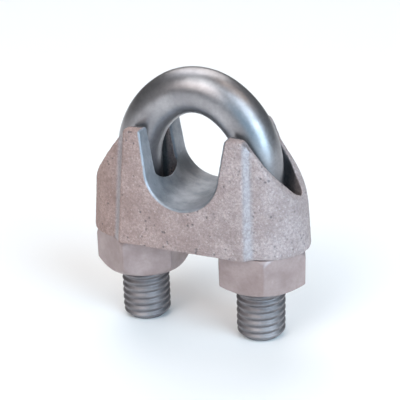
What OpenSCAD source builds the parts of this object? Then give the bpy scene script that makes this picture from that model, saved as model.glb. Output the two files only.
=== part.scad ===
// Wire rope clip: a U-bolt whose two legs pass through a cast saddle and are drawn up by two nuts.
// Millimetres. Origin midway between the leg ends, on the surface they stand on. X runs from leg
// to leg, Y along the clamped rope, and Z up the legs to the crown of the bow.

/* [U-bolt] */
// Distance between the centre lines of the two legs
leg_spacing = 26; // [24:0.5:28]
// Diameter of the bent rod
rod_d = 9; // [8:0.1:9.4]
// Major diameter of the leg thread, M10
thread_d = 10; // [9.8:0.05:10.2]
// Length of thread on each leg, from its end
thread_length = 26; // [24:1:28]
// Height from the leg ends to the top of the bow
clip_height = 55; // [54:0.5:58]
// Centre-line radius of the bow beside each leg
bow_side_r = 15.5; // [15:0.5:17]
// Angle through which each side of the bow turns before its tighter crown
bow_side_sweep = 60; // [50:1:65]

/* [Nuts] */
// Width of a nut across its flats
nut_flats = 17; // [16:0.5:18]
// Height of a nut
nut_height = 8; // [7:0.5:8.5]
// Turn of the left nut about its leg
left_nut_turn = -30; // [-60:1:60]
// Turn of the right nut about its leg
right_nut_turn = -6; // [-60:1:60]

/* [Saddle] */
// Height of the saddle's flat underside above the leg ends
seat_z = 20.4; // [18:0.2:22]
// Height of the saddle from its underside to its horn tips
saddle_height = 23.3; // [22:0.1:24]
// Length of the underside, leg to leg
saddle_length = 46.6; // [46:0.2:48]
// Depth of the underside, along the rope
saddle_depth = 21.3; // [20.5:0.1:23]
// Draft of the front and end walls
draft = 6; // [4:0.5:7]
// Draft of the back wall
back_draft = 2; // [1:0.5:6]
// Radius of the rope groove
groove_r = 7.7; // [7:0.1:8]
// Height of the groove bottom above the underside
groove_floor = 8.5; // [8:0.1:9.5]
// Slope of the groove walls from the vertical
groove_flare = 9; // [6:1:10]
// Radius of the holes that the legs pass through
leg_hole_r = 5.6; // [5.4:0.1:5.8]

/* [Hidden] */
$fn = 96;
// A depth too small to see, by which one surface is kept off another that it would otherwise graze.
shade = 0.01;
reach = 60;
leg_x = leg_spacing / 2;
rod_r = rod_d / 2;
thread_r = thread_d / 2;
end_chamfer = 1.2;

// The bow is a three-centred arch: side arcs from the legs, and a tighter crown arc between them.
side_center_x = bow_side_r - leg_x;
crown_r = bow_side_r - side_center_x / cos(bow_side_sweep);
crown_lift = side_center_x * tan(bow_side_sweep);
bow_base_z = clip_height - rod_r - crown_r - crown_lift;

// A nut turns on its leg and stays just clear of the underside.
nut_clearance = 0.05;
seat_gap = 0.05;

// Width and height of the three chamfers on the nuts' corners.
high_chamfer = [1.45, 1.3];
low_chamfer = [1.45, 0.8];
light_chamfer = [0.7, 1];
countersink = 0.5;
nut_bore_r = thread_r + nut_clearance;
nut_z = seat_z - seat_gap - nut_height;

// Plan of the saddle's underside: a large round about each leg and a smaller round at each corner.
end_r = 8.7;
end_x = saddle_length / 2 - end_r;
corner_r = 4;
corner_x = 13.3;
corner_y = saddle_depth / 2 - corner_r;

// Front profile of the saddle: horn tips, sloping shoulders and a round down to the ends.
horn_tip_x = 11.9;
shoulder_slope = 51.7;
shoulder_r = 7;
groove_center_z = groove_floor + groove_r;

// Plan of the pocket above each leg hole, which is open to the groove and at the shoulder.
pocket_floor = 5.6;
pocket_slot = 5.2;
pocket_r = 5.9;
pocket_x = 14;
pocket_end_r = 3.2;
pocket_end_x = 18;
pocket_mouth_r = 13;
pocket_mouth_x = 6.7;
pocket_taper = asin((pocket_r - pocket_end_r) / (pocket_end_x - pocket_x));

// Puts the children on both legs.
module on_each_leg() {
    for (side = [-1, 1])
        translate([side * leg_x, 0, 0]) children();
}

// Points of an arc of radius r that is tangent to the lines corner-a and corner-b.
function fillet(a, corner, b, r, steps = 8) =
    let (
        u = (a - corner) / norm(a - corner),
        v = (b - corner) / norm(b - corner),
        half = acos(u * v) / 2,
        middle = (u + v) / norm(u + v),
        center = corner + middle * r / sin(half),
        turn = cross(v, u) > 0 ? -1 : 1,
        from = atan2(-middle.y, -middle.x) + turn * (90 - half)
    )
    [for (i = [0 : steps]) center + r * [cos(from - turn * i * (180 - 2 * half) / steps),
                                         sin(from - turn * i * (180 - 2 * half) / steps)]];

// One bent arc of rod in the XZ plane, about [x, z] from angle start. It laps into the rod at both
// its ends, and is thinner than it by inset.
module rod_arc(x, z, r, start, sweep, inset) {
    lap = 0.5;
    translate([x, 0, z])
        rotate([90, 0, 0])
            rotate_extrude(angle = sweep + 2 * lap, start = start - lap)
                translate([r, 0]) circle(rod_r - inset);
}

// The right leg with the side of the bow that grows out of it.
module right_side() {
    translate([leg_x, 0, 0]) {
        cylinder(end_chamfer, thread_r - end_chamfer, thread_r);
        translate([0, 0, end_chamfer]) cylinder(thread_length - end_chamfer, r = thread_r);
        cylinder(bow_base_z, r = rod_r);
    }
    rod_arc(-side_center_x, bow_base_z, bow_side_r, 0, bow_side_sweep, shade);
}

module u_bolt() {
    color("silver") {
        right_side();
        rotate([0, 0, 180]) right_side();
        rod_arc(0, bow_base_z + crown_lift, crown_r, bow_side_sweep, 180 - 2 * bow_side_sweep, 2 * shade);
    }
}

// A round of the saddle's plan, leaning in by the angle lean.
module drafted_round(x, y, r, lean = draft) {
    translate([x, y, 0]) cylinder(saddle_height, r, r - saddle_height * tan(lean), $fn = 48);
}

// The saddle's outer walls: a round about each leg, blended into flat faces at front and back.
module drafted_body() {
    hull()
        for (x = [-1, 1]) {
            drafted_round(x * end_x, 0, end_r);
            drafted_round(x * corner_x, -corner_y, corner_r);
            drafted_round(x * corner_x, corner_y, corner_r, back_draft);
        }
}

module front_profile() {
    tip = [horn_tip_x, saddle_height];
    base = [saddle_length / 2, 0];
    slope = tan(shoulder_slope);
    lean = tan(draft);
    corner_z = (saddle_height + (horn_tip_x - base.x) * slope) / (1 - lean * slope);
    corner = [base.x - corner_z * lean, corner_z];
    side = concat([base], fillet(base, corner, tip, shoulder_r), [tip]);
    other_side = [for (i = [len(side) - 1 : -1 : 0]) [-side[i].x, side[i].y]];
    difference() {
        polygon(concat(side, other_side));
        groove_profile();
    }
}

// The groove is round below its centre, and its walls flare outwards above it.
module groove_profile() {
    foot = [groove_r - tan(groove_flare), -1];
    top_z = saddle_height + 1 - groove_center_z;
    top_x = groove_r + top_z * tan(groove_flare);
    translate([0, groove_center_z]) {
        circle(groove_r);
        polygon([[-foot.x, foot.y], foot, [top_x, top_z], [-top_x, top_z]]);
    }
}

// Plan of the pocket over the right leg: a slot that the bow passes through, opening into the groove
// along a shallow arc, then a round over the leg hole that narrows towards the saddle's end.
module pocket_plan() {
    mouth_sweep = asin(pocket_slot / pocket_mouth_r);
    mouth = [for (i = [-4 : 4])
        [pocket_mouth_x + pocket_mouth_r * (1 - cos(i * mouth_sweep / 4)),
         pocket_mouth_r * sin(i * mouth_sweep / 4)]];
    normal = [sin(pocket_taper), cos(pocket_taper)];
    flank = [pocket_x, 0] + (pocket_r - shade) * normal;
    flank_end = [pocket_end_x, 0] + (pocket_end_r - shade) * normal;
    polygon(concat(mouth, [[pocket_x, pocket_slot], [pocket_x, -pocket_slot]]));
    polygon([flank, flank_end, [flank_end.x, -flank_end.y], [flank.x, -flank.y]]);
    translate([pocket_x, 0]) circle(pocket_r);
    translate([pocket_end_x, 0]) circle(pocket_end_r);
}

module saddle() {
    color("lightgray")
        translate([0, 0, seat_z])
            difference() {
                intersection() {
                    drafted_body();
                    rotate([90, 0, 0])
                        translate([0, 0, -reach]) linear_extrude(2 * reach) front_profile();
                }
                on_each_leg() translate([0, 0, -1]) cylinder(pocket_floor + 2, r = leg_hole_r);
                for (turn = [0, 180])
                    rotate([0, 0, turn])
                        translate([0, 0, pocket_floor]) linear_extrude(saddle_height) pocket_plan();
            }
}

// A hexagon nut, countersunk at both mouths of its bore. lower and upper are the chamfers at its two
// faces.
module nut(lower, upper) {
    across_r = nut_flats / 2 / cos(30);
    difference() {
        intersection() {
            cylinder(nut_height, r = across_r, $fn = 6);
            rotate_extrude()
                polygon([
                    [0, 0], [across_r - lower.x, 0], [across_r, lower.y],
                    [across_r, nut_height - upper.y], [across_r - upper.x, nut_height], [0, nut_height]
                ]);
        }
        translate([0, 0, -1]) cylinder(nut_height + 2, r = nut_bore_r);
        for (face = [0, 1])
            translate([0, 0, face * nut_height])
                mirror([0, 0, face])
                    translate([0, 0, -shade]) cylinder(countersink, nut_bore_r + countersink, nut_bore_r);
    }
}

module nut_left() {
    color("gray")
        translate([-leg_x, 0, nut_z]) rotate([0, 0, left_nut_turn]) nut(high_chamfer, light_chamfer);
}

// The right nut's lower corners are cut less high than the left one's.
module nut_right() {
    color("gray")
        translate([leg_x, 0, nut_z]) rotate([0, 0, right_nut_turn]) nut(low_chamfer, light_chamfer);
}

u_bolt();
saddle();
nut_left();
nut_right();
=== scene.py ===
"""Wire rope clip: a zinc-plated U-bolt with rolled threads, a galvanized cast saddle and two nuts.

Metres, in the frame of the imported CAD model: X from leg to leg, Y along the rope, Z up the legs.
"""

import math

import bpy
import numpy as np
from mathutils import Matrix, Vector, kdtree, noise


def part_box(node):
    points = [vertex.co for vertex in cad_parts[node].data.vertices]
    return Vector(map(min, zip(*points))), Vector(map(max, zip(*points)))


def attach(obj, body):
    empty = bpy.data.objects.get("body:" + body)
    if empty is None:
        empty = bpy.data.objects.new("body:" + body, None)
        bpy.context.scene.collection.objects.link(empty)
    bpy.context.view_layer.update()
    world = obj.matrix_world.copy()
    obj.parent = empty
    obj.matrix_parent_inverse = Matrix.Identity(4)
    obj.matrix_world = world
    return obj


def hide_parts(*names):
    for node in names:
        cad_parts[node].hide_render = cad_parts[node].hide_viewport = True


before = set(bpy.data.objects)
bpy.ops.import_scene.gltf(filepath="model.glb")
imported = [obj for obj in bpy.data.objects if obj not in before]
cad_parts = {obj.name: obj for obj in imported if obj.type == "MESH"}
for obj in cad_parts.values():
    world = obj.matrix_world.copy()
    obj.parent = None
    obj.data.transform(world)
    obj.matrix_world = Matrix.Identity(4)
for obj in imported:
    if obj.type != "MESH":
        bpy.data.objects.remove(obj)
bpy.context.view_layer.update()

MM = 0.001
RANDOM = np.random.default_rng(13)
ALONG_Y = np.array([0, 1, 0])

# U-bolt: the legs stand LEG_X either side of the middle and the bow is a three-centred arch.
BOLT_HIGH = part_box("u_bolt")[1]
THREAD_R = BOLT_HIGH.y
LEG_X = BOLT_HIGH.x - THREAD_R
ROD_R = 4.48 * MM
BOW_TOP = BOLT_HIGH.z
SIDE_R = 15.5 * MM
SIDE_SWEEP = math.radians(60)
SIDE_X = SIDE_R - LEG_X
CROWN_R = SIDE_R - SIDE_X / math.cos(SIDE_SWEEP)
CROWN_Z = BOW_TOP - ROD_R - CROWN_R
SIDE_Z = CROWN_Z - SIDE_X * math.tan(SIDE_SWEEP)

# M10 x 1.5 thread, right-handed.
PITCH = 1.5 * MM
THREAD_TOP = 26 * MM
THREAD_ROOT = THREAD_R - 0.42 * MM
THREAD_RUNOUT = 1.6 * PITCH
# Where a flank starts and ends, in pitches from the crest.
CREST, ROOT = 0.04, 0.48
THREAD_PLAY = 0.06 * MM

# The leg's end: a chamfer, and a flat that is END_FLAT of the chamfer's foot across, END_EASE below it.
END_CHAMFER = 1.2 * MM
END_FLAT = 0.9
END_EASE = 0.12 * MM

# Nuts. A chamfer is a width and a height, and NUT_BEVEL_ZONE is more than any chamfer's height. Turns are
# in degrees.
NUT_FLATS = 17 * MM
NUT_BEVEL_ZONE = 1.6 * MM
NUT_CORNER_SHARPNESS = 90
HIGH_CHAMFER = (1.45 * MM, 1.3 * MM)
LOW_CHAMFER = (1.45 * MM, 0.8 * MM)
LIGHT_CHAMFER = (0.7 * MM, 1.0 * MM)
COUNTERSINK = 0.55 * MM
LEFT_TURN, RIGHT_TURN = -30, -6

# Saddle, above the middle of its underside: a round boss about each leg, and between them a block whose
# front and back faces stand proud of the bosses and end in steep edges. Angles are in degrees.
SADDLE_LOW, SADDLE_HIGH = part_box("saddle")
SADDLE_HEIGHT = SADDLE_HIGH.z - SADDLE_LOW.z
DRAFT = 6
BACK_DRAFT = 2
BOSS_R = 8.8 * MM
BOSS_X = SADDLE_HIGH.x - BOSS_R - 0.2 * MM
BOSS_DRAFT = 4.5
FACE_X = 13.3 * MM
FACE_LEAN = 0.048
FACE_EDGE_NORMAL = 43
HORN_TIP_X = 11.9 * MM
SHOULDER_SLOPE = 51.7
SHOULDER_R = 7 * MM
SHOULDER_SKEW = 0.04
GROOVE_R = 7.7 * MM
GROOVE_Z = 16.2 * MM
GROOVE_FLARE = 9
GROOVE_WAIST = 0.35 * MM
LEG_HOLE_R = 5.6 * MM
POCKET_FLOOR = 5.6 * MM
POCKET_SLOT = 5.0 * MM
POCKET_X, POCKET_R = 14 * MM, 5.9 * MM
POCKET_END_X, POCKET_END_R = 18 * MM, 3.2 * MM
POCKET_MOUTH_X, POCKET_MOUTH_R = 19.2 * MM, 13 * MM

# Widths over which the saddle's edges are rounded.
FACE_EASE = 0.3 * MM
BOSS_EASE = 0.8 * MM
RIM_EASE = 0.5 * MM
TIP_EASE = 0.4 * MM
POCKET_EASE = 0.35 * MM
POCKET_FLOOR_EASE = 2 * MM

# The casting's skin: height and size of its fine and broad lumps, and its pits, whose depth is a share of
# their radius. Within GROOVE_SMOOTH_R of the groove's axis it is smoother.
GRID = 0.2 * MM
FINE_LUMPS = (0.04 * MM, 1.1 * MM)
BROAD_LUMPS = (0.07 * MM, 5 * MM)
PIT_COUNT = 220
PIT_RADII = (0.2 * MM, 0.5 * MM)
PIT_DEPTH = 0.35
GROOVE_SMOOTH_R = 8.6 * MM


# ---------------------------------------------------------------------------------------------- shapes


def smooth_step(x):
    x = np.clip(x, 0, 1)
    return x * x * (3 - 2 * x)


def skin(name, rows, close_rows=False):
    """A mesh over rows of points, each a closed ring. The first and last rings join up or are capped."""
    rows = np.asarray(rows, float)
    count, width = rows.shape[:2]
    index = np.arange(count * width).reshape(count, width)
    following = np.roll(index, -1, axis=1)
    if close_rows:
        below, above = index, np.roll(index, -1, axis=0)
        below_next, above_next = following, np.roll(following, -1, axis=0)
    else:
        below, above = index[:-1], index[1:]
        below_next, above_next = following[:-1], following[1:]
    quads = np.stack([below, below_next, above_next, above], axis=-1).reshape(-1, 4)
    points = rows.reshape(-1, 3).tolist()
    faces = quads.tolist()
    if not close_rows:
        for ring, flip in ((0, True), (count - 1, False)):
            points.append(rows[ring].mean(axis=0).tolist())
            hub = len(points) - 1
            for a, b in zip(index[ring].tolist(), following[ring].tolist()):
                faces.append((b, a, hub) if flip else (a, b, hub))
    mesh = bpy.data.meshes.new(name)
    mesh.from_pydata(points, [], faces)
    mesh.validate()
    mesh.polygons.foreach_set("use_smooth", [True] * len(mesh.polygons))
    mesh.update()
    piece = bpy.data.objects.new(name, mesh)
    bpy.context.scene.collection.objects.link(piece)
    return piece


def thread_radius(angle, z):
    """Radius of the right-hand thread at an angle about its leg and a height above the leg's end."""
    turns = z / PITCH - angle / (2 * math.pi)
    from_crest = np.abs(turns - np.round(turns))
    return THREAD_ROOT + (THREAD_R - THREAD_ROOT) * smooth_step((ROOT - from_crest) / (ROOT - CREST))


def leg_rings(side, angles):
    """Rings of one leg from its end up to the bow. side is -1 for the left leg and 1 for the right."""
    heights = np.concatenate([np.arange(0, THREAD_TOP, PITCH / 18), np.linspace(THREAD_TOP, SIDE_Z, 22)])
    z, around = np.meshgrid(heights, angles, indexing="ij")
    fade = smooth_step((THREAD_TOP - z) / THREAD_RUNOUT)
    radius = ROD_R + (thread_radius(around, z) - ROD_R) * fade
    radius = np.minimum(radius, THREAD_R - END_CHAMFER + z)
    rings = np.stack([side * LEG_X + radius * np.cos(around), radius * np.sin(around), z], axis=-1)
    end = rings[:1].copy()
    end[..., 0] = side * LEG_X + (end[..., 0] - side * LEG_X) * END_FLAT
    end[..., 1] *= END_FLAT
    rings[0, :, 2] += END_EASE
    return np.concatenate([end, rings])


def bow_rings(width):
    """Rings of the bow between the legs' last rings and in step with them, from left to right."""
    sections = (
        (SIDE_X, SIDE_Z, SIDE_R, math.pi, math.pi - SIDE_SWEEP, 44),
        (0, CROWN_Z, CROWN_R, math.pi - SIDE_SWEEP, SIDE_SWEEP, 34),
        (-SIDE_X, SIDE_Z, SIDE_R, SIDE_SWEEP, 0, 44),
    )
    turn = np.linspace(0, 2 * math.pi, width, endpoint=False)
    rings = []
    for x, z, radius, start, stop, steps in sections:
        for bend in np.linspace(start, stop, steps, endpoint=False):
            out = np.array([math.cos(bend), 0, math.sin(bend)])
            middle = np.array([x, 0, z]) + radius * out
            rings.append(middle + ROD_R * (np.cos(turn)[:, None] * out + np.sin(turn)[:, None] * ALONG_Y))
    return np.array(rings[1:])


def u_bolt():
    """The bent rod in one mesh: up the left leg, over the bow and down the right leg."""
    width = 80
    turn = np.linspace(0, 2 * math.pi, width, endpoint=False)
    left = leg_rings(-1, math.pi - turn)
    right = leg_rings(1, turn)
    rings = np.concatenate([left, bow_rings(width), right[::-1]])
    return skin("u_bolt_threaded", rings)


def hexagon(angle):
    """Distance from a nut's axis to its flats, with slightly rounded corners, in the direction angle."""
    sides = np.array([math.radians(30 + 60 * k) for k in range(6)])
    towards = np.clip(np.cos(angle[..., None] - sides), 0, None)
    blend = (towards**NUT_CORNER_SHARPNESS).sum(axis=-1)
    return NUT_FLATS / 2 / blend ** (1 / NUT_CORNER_SHARPNESS)


def nut(side, turn, lower, upper):
    """A hexagon nut whose thread meshes with its leg's. lower and upper are its chamfers."""
    low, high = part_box(f"nut_{side}")
    leg_x = (low.x + high.x) / 2
    across_r = NUT_FLATS / 2 / math.cos(math.radians(30))
    spread = np.linspace(-1, 1, 40, endpoint=False)
    on_flat = 30 * np.sin(spread * math.pi / 2)
    angles = np.concatenate([np.radians(30 + 60 * k + on_flat) for k in range(6)])
    flats = hexagon(angles)
    world = angles + math.radians(turn)

    def ring(radius, z):
        return np.stack([leg_x + radius * np.cos(world), radius * np.sin(world), z + 0 * world], axis=-1)

    def bevel(height, chamfer):
        """Radius of a chamfer's cone at a height above its face."""
        width, depth = chamfer
        return across_r + width * (height / depth - 1)

    def wall(z):
        """Radius of the outside at a height, with the edges between flats and cones a little rounded."""
        blunt = 0.15 * MM
        cones = np.minimum(bevel(z - low.z, lower), bevel(high.z - z, upper))
        return -np.logaddexp(-flats / blunt, -cones / blunt) * blunt

    def face(z, shares):
        """Rings of a flat face, each a share of the way from the bore's mouth to just inside the wall."""
        return [ring(mouth + (wall(z) - 0.05 * MM - mouth) * share, z) for share in shares]

    mouth = THREAD_R + COUNTERSINK
    shares = np.array([0.05, 0.35, 0.65, 1.0])
    near_face = np.linspace(0.02, 1, 24) ** 1.3 * NUT_BEVEL_ZONE
    between = np.linspace(low.z + NUT_BEVEL_ZONE, high.z - NUT_BEVEL_ZONE, 10)[1:-1]
    outside = np.concatenate([low.z + near_face, between, high.z - near_face[::-1]])
    rows = face(low.z, shares) + [ring(wall(z), z) for z in outside] + face(high.z, shares[::-1])
    for z in np.arange(high.z - 0.02 * MM, low.z, -PITCH / 16):
        thread = thread_radius(world, z) + THREAD_PLAY
        countersink = mouth - min(z - low.z, high.z - z)
        rows.append(ring(np.maximum(thread, countersink), z))
    return skin(f"nut_{side}_threaded", rows, close_rows=True)


def normals_of(mesh):
    values = np.zeros(len(mesh.vertices) * 3, np.float32)
    mesh.vertex_normals.foreach_get("vector", values)
    return values.reshape(-1, 3).astype(float)


def move_points(mesh, points):
    mesh.vertices.foreach_set("co", points.astype(np.float32).ravel())
    mesh.update()


def smoothed(mesh, points, rounds, amount):
    """The points moved towards the mean of their neighbours, amount of the way in each round."""
    edges = np.zeros(len(mesh.edges) * 2, np.int32)
    mesh.edges.foreach_get("vertices", edges)
    a, b = edges.reshape(-1, 2).T
    degree = np.bincount(np.concatenate([a, b]), minlength=len(points))[:, None]
    for _ in range(rounds):
        total = np.zeros_like(points)
        np.add.at(total, a, points[b])
        np.add.at(total, b, points[a])
        points = points + amount * (total / degree - points)
    return points


def cast_noise(points, size, seed, octaves=3):
    """Fractal noise from -1 to 1 at each point, with features about size across."""
    shift = seed * Vector((7.3, 3.1, 5.7))
    return np.array([noise.fractal(Vector(p) / size + shift, 0.6, 2.1, octaves) for p in points.tolist()])


def along(u, v, degrees):
    """How far (u, v) lies in the direction at an angle from the first axis."""
    return u * math.cos(math.radians(degrees)) + v * math.sin(math.radians(degrees))


def wedge(u, v, first, last, radius):
    """Distance outside two straight sides, given by their normals, and the arc about (0, 0) between them."""
    bearing = np.degrees(np.arctan2(v, u))
    on_arc = (bearing > first) & (bearing < last)
    straight = np.maximum(along(u, v, first), along(u, v, last))
    return np.where(on_arc, np.hypot(u, v), straight) - radius


def eased(a, b, width):
    """The larger of two distances, with the edge between them rounded over a width."""
    near = np.clip(1 - np.abs(a - b) / width, 0, None)
    return np.maximum(a, b) + near * near * width / 4


def lean(degrees):
    """How far a wall leans in for each metre of its height."""
    return math.tan(math.radians(degrees))


def pocket(x, y, z):
    """Distance outside the pocket and leg hole of the right leg, where y is not negative."""
    taper = math.degrees(math.acos((POCKET_R - POCKET_END_R) / (POCKET_END_X - POCKET_X)))
    nose = wedge(x - POCKET_END_X, y, -taper, taper, POCKET_END_R)
    round_part = wedge(x - POCKET_X, y, taper, 360 - taper, POCKET_R)
    mouth = np.hypot(x - POCKET_MOUTH_X, y) - POCKET_MOUTH_R
    slot = np.maximum(np.maximum(y - POCKET_SLOT, x - POCKET_X), mouth)
    plan = np.minimum(np.maximum(nose, round_part), slot)
    return np.minimum(eased(plan, POCKET_FLOOR - z, POCKET_FLOOR_EASE), np.hypot(x - LEG_X, y) - LEG_HOLE_R)


def outer_walls(x, y, z):
    """Distance outside the boss and the block's faces."""
    boss = np.hypot(x - BOSS_X, y) - BOSS_R + z * lean(BOSS_DRAFT)
    face = np.abs(y) - SADDLE_HIGH.y + z * np.where(y > 0, lean(BACK_DRAFT), lean(DRAFT))
    face_edge = along(x - FACE_X + z * FACE_LEAN, face, FACE_EDGE_NORMAL)
    block = eased(face, face_edge, FACE_EASE)
    return -eased(-block, -boss, BOSS_EASE)


def shoulder(x, y, z):
    """Distance outside the slope down from a horn's tip, and the arc through which it meets the end."""
    slope_normal = 90 - SHOULDER_SLOPE
    angles = np.radians([BOSS_DRAFT, slope_normal])
    normals = np.stack([np.cos(angles), np.sin(angles)], axis=1)
    reach = np.array([normals[0] @ (SADDLE_HIGH.x, 0), normals[1] @ (HORN_TIP_X, SADDLE_HEIGHT)])
    arc_x, arc_z = np.linalg.solve(normals, reach - SHOULDER_R)
    return wedge(x - arc_x, z - arc_z, BOSS_DRAFT, slope_normal, SHOULDER_R) + SHOULDER_SKEW * y


def rope_groove(x, y, z):
    """Distance outside the groove, which has a narrower waist midway along the rope."""
    plain_groove = wedge(x, z - GROOVE_Z, GROOVE_FLARE - 180, -GROOVE_FLARE, GROOVE_R)
    return plain_groove + GROOVE_WAIST * np.clip(1 - (y / SADDLE_HIGH.y) ** 2, 0, 1)


def saddle_field(x, y, z):
    """Distance outside the casting's surface, in the half of it where x is positive."""
    solid = eased(outer_walls(x, y, z), shoulder(x, y, z), RIM_EASE)
    solid = eased(solid, z - SADDLE_HEIGHT, TIP_EASE)
    solid = eased(solid, -z, RIM_EASE)
    solid = eased(solid, -rope_groove(x, y, z), RIM_EASE)
    return eased(solid, -pocket(x, np.abs(y), z), POCKET_EASE)


def surface_net(field, corner, step):
    """Points and faces of the surface where a field, sampled every step from its lowest corner, is zero."""
    places, owners = [], []
    for axis, side, other in ((0, 1, 2), (1, 2, 0), (2, 0, 1)):
        ahead = np.roll(field, -1, axis)
        crossing = np.argwhere((field < 0) != (ahead < 0))
        here, there = field[tuple(crossing.T)], ahead[tuple(crossing.T)]
        place = crossing.astype(float)
        place[:, axis] += here / (here - there)
        cells = []
        for back, down in ((0, 0), (1, 0), (1, 1), (0, 1)):
            cell = crossing.copy()
            cell[:, side] -= back
            cell[:, other] -= down
            cells.append(np.ravel_multi_index(tuple(cell.T), field.shape))
        cells = np.stack(cells, axis=1)
        places.append(place)
        owners.append(np.where((here < 0)[:, None], cells, cells[:, ::-1]))
    places, owners = np.concatenate(places), np.concatenate(owners)
    faces = np.unique(owners, return_inverse=True)[1]
    faces = faces.reshape(-1, 4)
    count = np.bincount(faces.ravel())
    points = [np.bincount(faces.ravel(), np.repeat(places[:, k], 4)) / count for k in range(3)]
    return np.stack(points, axis=1) * step + corner, faces


def skin_relief(points):
    """How far the casting's skin stands in or out at each point, from its lumps and its pits."""
    fine, fine_size = FINE_LUMPS
    broad, broad_size = BROAD_LUMPS
    relief = -fine + fine * cast_noise(points, fine_size, 1) + broad * cast_noise(points, broad_size, 2, 2)
    pits = kdtree.KDTree(PIT_COUNT)
    for i, p in enumerate(RANDOM.choice(len(points), PIT_COUNT, replace=False)):
        pits.insert(points[p].tolist(), i)
    pits.balance()
    radii = RANDOM.uniform(*PIT_RADII, PIT_COUNT)
    for k, p in enumerate(points.tolist()):
        _, i, distance = pits.find(p)
        if distance < radii[i]:
            relief[k] -= PIT_DEPTH * radii[i] * (1 - (distance / radii[i]) ** 2)
    return relief


def saddle():
    """The cast saddle, with eased edges, a smoother groove, shallow lumps and small pits."""
    x = np.arange(0, SADDLE_HIGH.x + 2 * GRID, GRID)
    y = np.arange(-SADDLE_HIGH.y - 1.5 * GRID, SADDLE_HIGH.y + 2 * GRID, GRID)
    z = np.arange(-1.5 * GRID, SADDLE_HEIGHT + 2 * GRID, GRID)
    right_half = saddle_field(*np.meshgrid(x, y, z, indexing="ij"))
    field = np.concatenate([right_half[:0:-1], right_half])
    points, faces = surface_net(field, (-x[-1], y[0], z[0] + SADDLE_LOW.z), GRID)

    mesh = bpy.data.meshes.new("saddle_casting")
    mesh.from_pydata(points.tolist(), [], faces.tolist())
    mesh.validate()
    mesh.polygons.foreach_set("use_smooth", [True] * len(mesh.polygons))
    points = smoothed(mesh, points, 2, 0.5)
    move_points(mesh, points)

    # The skin only ever stands in, so it stays inside the CAD box. A core left the groove smoother.
    from_axis = np.hypot(points[:, 0], points[:, 2] - SADDLE_LOW.z - GROOVE_Z)
    rough = 1 - 0.8 * smooth_step((GROOVE_SMOOTH_R - from_axis) / (0.5 * MM))
    inwards = np.minimum(skin_relief(points) * rough, 0)
    move_points(mesh, points + normals_of(mesh) * inwards[:, None])
    piece = bpy.data.objects.new("saddle_casting", mesh)
    bpy.context.scene.collection.objects.link(piece)
    return piece


# ------------------------------------------------------------------------------------------- materials


class Nodes:
    """Builds one node material around a Principled shader."""

    def __init__(self, name):
        self.material = bpy.data.materials.new(name)
        self.material.use_nodes = True
        self.tree = self.material.node_tree
        self.shader = self.tree.nodes["Principled BSDF"]
        self.where = self.tree.nodes.new("ShaderNodeTexCoord").outputs["Object"]

    def link(self, output, socket):
        self.tree.links.new(output, socket)

    def noise(self, size, detail=3, roughness=0.55):
        """Noise whose features are about size metres across."""
        node = self.tree.nodes.new("ShaderNodeTexNoise")
        node.inputs["Scale"].default_value = 1 / size
        node.inputs["Detail"].default_value = detail
        node.inputs["Roughness"].default_value = roughness
        self.link(self.where, node.inputs["Vector"])
        return node.outputs["Fac"]

    def cells(self, size):
        """Distance from the nearest of random points about size metres apart, in that unit."""
        node = self.tree.nodes.new("ShaderNodeTexVoronoi")
        node.inputs["Scale"].default_value = 1 / size
        self.link(self.where, node.inputs["Vector"])
        return node.outputs["Distance"]

    def span(self, value, low, high, out_low=0.0, out_high=1.0):
        """value carried from the range low-high to the range out_low-out_high, held inside it."""
        node = self.tree.nodes.new("ShaderNodeMapRange")
        limits = {"From Min": low, "From Max": high, "To Min": out_low, "To Max": out_high}
        for name, number in limits.items():
            node.inputs[name].default_value = number
        self.link(value, node.inputs["Value"])
        return node.outputs["Result"]

    def math(self, kind, a, b=0.0):
        """One sum on outputs or numbers."""
        node = self.tree.nodes.new("ShaderNodeMath")
        node.operation = kind
        for socket, value in zip(node.inputs, (a, b)):
            if isinstance(value, (int, float)):
                socket.default_value = value
            else:
                self.link(value, socket)
        return node.outputs[0]

    def product(self, first, *others):
        for other in others:
            first = self.math("MULTIPLY", first, other)
        return first

    def distance(self, a, b):
        """Length of the vector (a, b)."""
        return self.math("SQRT", self.math("ADD", self.product(a, a), self.product(b, b)))

    def blend(self, factor, a, b, mode="MIX"):
        """Colour a where factor is 0 and b where it is 1. Colours are tuples or outputs."""
        node = self.tree.nodes.new("ShaderNodeMix")
        node.data_type = "RGBA"
        node.blend_type = mode
        for name, value in (("Factor", factor), ("A", a), ("B", b)):
            socket = [s for s in node.inputs if s.name == name and s.enabled][0]
            if isinstance(value, (int, float)):
                socket.default_value = value
            elif isinstance(value, tuple):
                socket.default_value = (*value, 1)
            else:
                self.link(value, socket)
        return [s for s in node.outputs if s.enabled][0]

    def bump(self, height, distance, strength=1.0):
        """Relief on the shader, distance metres high."""
        node = self.tree.nodes.new("ShaderNodeBump")
        node.inputs["Distance"].default_value = distance
        node.inputs["Strength"].default_value = strength
        self.link(height, node.inputs["Height"])
        self.link(node.outputs["Normal"], self.shader.inputs["Normal"])

    def position(self):
        """The three coordinates, in metres, in the piece's own frame."""
        node = self.tree.nodes.new("ShaderNodeSeparateXYZ")
        self.link(self.where, node.inputs[0])
        return node.outputs


def zinc(n, bright, dull, dark, roughness):
    """Colour and roughness of zinc plate on steel: mottled, with a fine satin grain."""
    clouds = n.span(n.noise(6 * MM, 4, 0.6), 0.38, 0.62)
    speck = n.span(n.noise(0.6 * MM, 3, 0.6), 0.35, 0.65)
    n.bump(n.math("ADD", n.noise(0.25 * MM, 3, 0.6), n.noise(2 * MM, 2)), 0.02 * MM, 0.4)
    colour = n.blend(n.product(speck, 0.2), n.blend(clouds, dull, bright), dark)
    return colour, n.span(n.math("ADD", clouds, speck), 0, 2, roughness + 0.06, roughness - 0.06)


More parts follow.
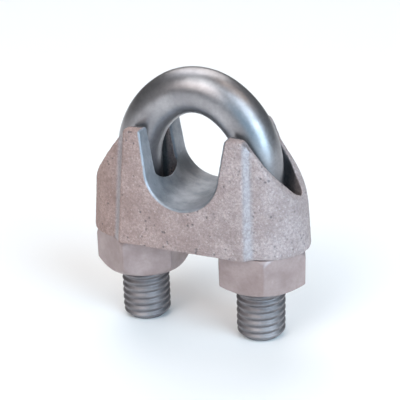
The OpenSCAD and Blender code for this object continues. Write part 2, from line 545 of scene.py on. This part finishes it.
def bolt_material():
    """Zinc that is bright on the bow and rough on the thread, with painted shade on the rod where it sits in
    a pocket.
    """
    n = Nodes("u_bolt_zinc")
    height = n.position()[2]
    colour, satin = zinc(n, (0.445, 0.425, 0.435), (0.33, 0.315, 0.325), (0.17, 0.16, 0.17), 0.37)
    thread = n.span(height, THREAD_TOP, THREAD_TOP + 1 * MM, 1, 0)
    # Painted shade: the rod is darkened between its thread and a little below the saddle's top, where it sits
    # in the pockets.
    sheltered = n.span(height, SADDLE_HIGH.z - 10 * MM, SADDLE_HIGH.z - 2 * MM, 1, 0)
    painted_pocket_shade = n.math("SUBTRACT", sheltered, thread)
    colour = n.blend(thread, colour, (0.75, 0.73, 0.73), "MULTIPLY")
    colour = n.blend(painted_pocket_shade, colour, (0.45, 0.47, 0.49), "MULTIPLY")
    n.link(colour, n.shader.inputs["Base Color"])
    n.link(n.math("ADD", satin, n.product(thread, 0.18)), n.shader.inputs["Roughness"])
    n.shader.inputs["Metallic"].default_value = 0.88
    return n.material


def nut_material():
    """Duller zinc than the bolt's, a little pink."""
    n = Nodes("nut_zinc")
    colour, satin = zinc(n, (0.43, 0.34, 0.33), (0.33, 0.25, 0.24), (0.23, 0.165, 0.16), 0.42)
    n.link(colour, n.shader.inputs["Base Color"])
    n.link(satin, n.shader.inputs["Roughness"])
    n.shader.inputs["Metallic"].default_value = 0.4
    return n.material


def sand_cast_colour(n, x, grain, patches, pores):
    """Pale zinc with grain, bright flecks and dark pores. Painted light makes it darker and pinker to the
    left and brighter and bluer to the right.
    """
    flecks = n.span(n.cells(0.8 * MM), 0.1, 0.3, 1, 0)
    colour = n.blend(patches, (0.43, 0.32, 0.295), (0.56, 0.435, 0.41))
    colour = n.blend(n.product(grain, 0.62), colour, (0.26, 0.195, 0.185))
    colour = n.blend(n.product(flecks, 0.3), colour, (0.78, 0.67, 0.65))
    colour = n.blend(n.product(pores, 0.6), colour, (0.10, 0.09, 0.10))
    # Painted light: a tint from left to right that shades the casting's left end and lights its right end.
    side_light_tint = n.blend(n.span(x, -18 * MM, 18 * MM), (0.94, 0.86, 0.82), (1.03, 1.12, 1.18))
    return n.blend(1.0, colour, side_light_tint, "MULTIPLY")


def groove_mask(n, x, across, height):
    """1 on the groove's round bottom and flaring walls, and 0 elsewhere."""
    above_axis = n.math("SUBTRACT", height, GROOVE_Z)
    bottom = n.span(n.distance(x, above_axis), GROOVE_R + 0.35 * MM, GROOVE_R + 0.15 * MM)
    flare = n.math("SUBTRACT", across, n.product(above_axis, lean(GROOVE_FLARE)))
    wall = n.span(flare, GROOVE_R + 0.45 * MM, GROOVE_R + 0.25 * MM)
    return n.math("MAXIMUM", bottom, n.product(wall, n.span(height, GROOVE_Z, GROOVE_Z + 0.5 * MM)))


def face_edge_mask(n, across, along_rope, height):
    """1 on the steep edges that end the front and back faces."""
    past_face = n.math("SUBTRACT", n.math("ADD", across, n.product(height, FACE_LEAN)), FACE_X)
    starts, ends = n.span(past_face, 0, 0.4 * MM), n.span(past_face, 1.2 * MM, 2.0 * MM, 1, 0)
    return n.product(starts, ends, n.span(along_rope, 6 * MM, 6.4 * MM))


def painted_hollow_shade_mask(n, across, y, height):
    """1 inside the pockets and leg holes, where shade is painted."""
    past_middle = n.math("MAXIMUM", n.math("SUBTRACT", across, POCKET_X), 0.0)
    within = n.span(n.distance(past_middle, y), POCKET_R, POCKET_R + 0.2 * MM, 1, 0)
    return n.product(within, n.span(across, 9.0 * MM, 9.6 * MM), n.span(height, 2 * MM, 3 * MM))


def casting_material():
    """Galvanized casting: pale and pitted, but smoother and bluer in the groove and on the faces' edges, with
    painted light from left to right and painted shade in the pockets and leg holes.
    """
    n = Nodes("saddle_casting")
    x, y, z = n.position()
    across, along_rope = n.math("ABSOLUTE", x), n.math("ABSOLUTE", y)
    height = n.math("SUBTRACT", z, SADDLE_LOW.z)
    groove = groove_mask(n, x, across, height)
    edge = face_edge_mask(n, across, along_rope, height)
    smooth = n.math("MAXIMUM", groove, edge)
    cast = n.math("SUBTRACT", 1.0, smooth)

    grain = n.span(n.noise(0.5 * MM, 5, 0.8), 0.41, 0.59)
    patches = n.span(n.noise(4.5 * MM, 3, 0.6), 0.36, 0.64)
    pores = n.product(n.span(n.cells(1.2 * MM), 0.12, 0.26, 1, 0), n.span(n.noise(2.5 * MM, 2), 0.47, 0.56))
    colour = sand_cast_colour(n, x, grain, patches, pores)
    colour = n.blend(groove, colour, n.blend(patches, (0.27, 0.29, 0.32), (0.45, 0.46, 0.50)))
    colour = n.blend(edge, colour, n.blend(n.product(grain, 0.7), (0.50, 0.45, 0.46), (0.30, 0.26, 0.27)))
    # Painted shade: the pockets and leg holes are coloured near black.
    colour = n.blend(painted_hollow_shade_mask(n, across, y, height), colour, (0.125, 0.12, 0.125))
    n.link(colour, n.shader.inputs["Base Color"])
    n.link(n.span(smooth, 0, 1, 0.35, 0.75), n.shader.inputs["Metallic"])

    satin = n.math("ADD", n.product(grain, 0.2), cast)
    n.link(n.span(satin, 0, 1.2, 0.5, 0.62), n.shader.inputs["Roughness"])
    rough = n.math("ADD", n.noise(0.35 * MM, 4, 0.65), n.noise(1.0 * MM, 3))
    rough = n.math("SUBTRACT", rough, n.product(pores, 0.6))
    n.bump(n.product(rough, n.span(cast, 0, 1, 0.3, 1)), 0.22 * MM)
    return n.material


def dress(piece, material):
    piece.data.materials.clear()
    piece.data.materials.append(material)


# -------------------------------------------------------------------------------------------- the clip

bolt = u_bolt()
dress(bolt, bolt_material())
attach(bolt, "u_bolt")
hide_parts("u_bolt")

casting = saddle()
dress(casting, casting_material())
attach(casting, "saddle")
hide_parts("saddle")

plated = nut_material()
for side, turn, lower in (("left", LEFT_TURN, HIGH_CHAMFER), ("right", RIGHT_TURN, LOW_CHAMFER)):
    piece = nut(side, turn, lower, LIGHT_CHAMFER)
    dress(piece, plated)
    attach(piece, f"nut_{side}")
    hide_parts(f"nut_{side}")


# --------------------------------------------------------------------------------------- studio, camera

LAMP_DISTANCE = 1.2


def plain(name, colour, roughness):
    """A material of one colour, whose roughness hardly varies."""
    n = Nodes(name)
    n.link(n.span(n.noise(0.05, 2), 0, 1, roughness, roughness + 0.02), n.shader.inputs["Roughness"])
    n.shader.inputs["Base Color"].default_value = (*colour, 1)
    return n.material


floor = bpy.data.objects.new("floor", bpy.data.meshes.new("floor"))
floor.data.from_pydata([(-8, -8, 0), (8, -8, 0), (8, 8, 0), (-8, 8, 0)], [], [(0, 1, 2, 3)])
bpy.context.scene.collection.objects.link(floor)
dress(floor, plain("floor_white", (0.93, 0.93, 0.93), 0.9))

world = bpy.data.worlds.new("studio")
world.use_nodes = True
world.node_tree.nodes["Background"].inputs["Color"].default_value = (1.0, 1.0, 1.0, 1)
world.node_tree.nodes["Background"].inputs["Strength"].default_value = 0.02
bpy.context.scene.world = world
bpy.context.scene.view_settings.view_transform = "Standard"


def place(thing, azimuth, elevation, distance, roll=0.0):
    """Puts a light or the camera on a sphere about the clip's middle and points it there.

    Azimuth 0 is in front of the clip, on -Y, and grows towards +X. Roll turns it about its own axis.
    """
    azimuth, elevation, roll = (math.radians(a) for a in (azimuth, elevation, roll))
    ahead = Vector((math.sin(azimuth), -math.cos(azimuth), 0))
    out = ahead * math.cos(elevation) + Vector((0, 0, math.sin(elevation)))
    level = Vector((math.cos(azimuth), math.sin(azimuth), 0))
    upright = out.cross(level)
    right = math.cos(roll) * level + math.sin(roll) * upright
    up = math.cos(roll) * upright - math.sin(roll) * level
    turn = Matrix((right, up, out)).transposed()
    thing.matrix_world = Matrix.Translation(Vector((0, 0, BOW_TOP / 2)) + out * distance) @ turn.to_4x4()


def softbox(name, azimuth, elevation, size, power, colour):
    """A square area light aimed at the clip."""
    light = bpy.data.lights.new(name, "AREA")
    light.size = size
    light.energy = power
    light.color = colour
    lamp = bpy.data.objects.new(name, light)
    bpy.context.scene.collection.objects.link(lamp)
    place(lamp, azimuth, elevation, LAMP_DISTANCE)


softbox("front_top", -15, 38, 0.7, 5.2, (1.0, 0.93, 0.9))
softbox("front_high", -15, 60, 0.7, 4.4, (0.92, 0.98, 1.0))
softbox("left_back", -120, 60, 0.7, 2.0, (0.85, 0.91, 1.0))
softbox("back_top", 205, 50, 1.0, 6.4, (1.0, 0.99, 0.98))
softbox("right_high", 105, 62, 0.7, 1.8, (1.0, 0.8, 0.65))
softbox("right_top", 65, 38, 0.7, 8.0, (0.72, 0.87, 1.0))
softbox("right_low", 65, 12, 0.7, 6.8, (0.54, 0.8, 1.0))
softbox("front_low", 25, 14, 0.7, 1.4, (0.1, 0.6, 1.0))

camera = bpy.data.objects.new("camera", bpy.data.cameras.new("camera"))
bpy.context.scene.collection.objects.link(camera)
camera.data.sensor_width = 36
camera.data.lens = 98.66
camera.data.clip_start = 0.01
place(camera, 24.3, 22.47, 0.220, -1.6)
bpy.context.scene.camera = camera
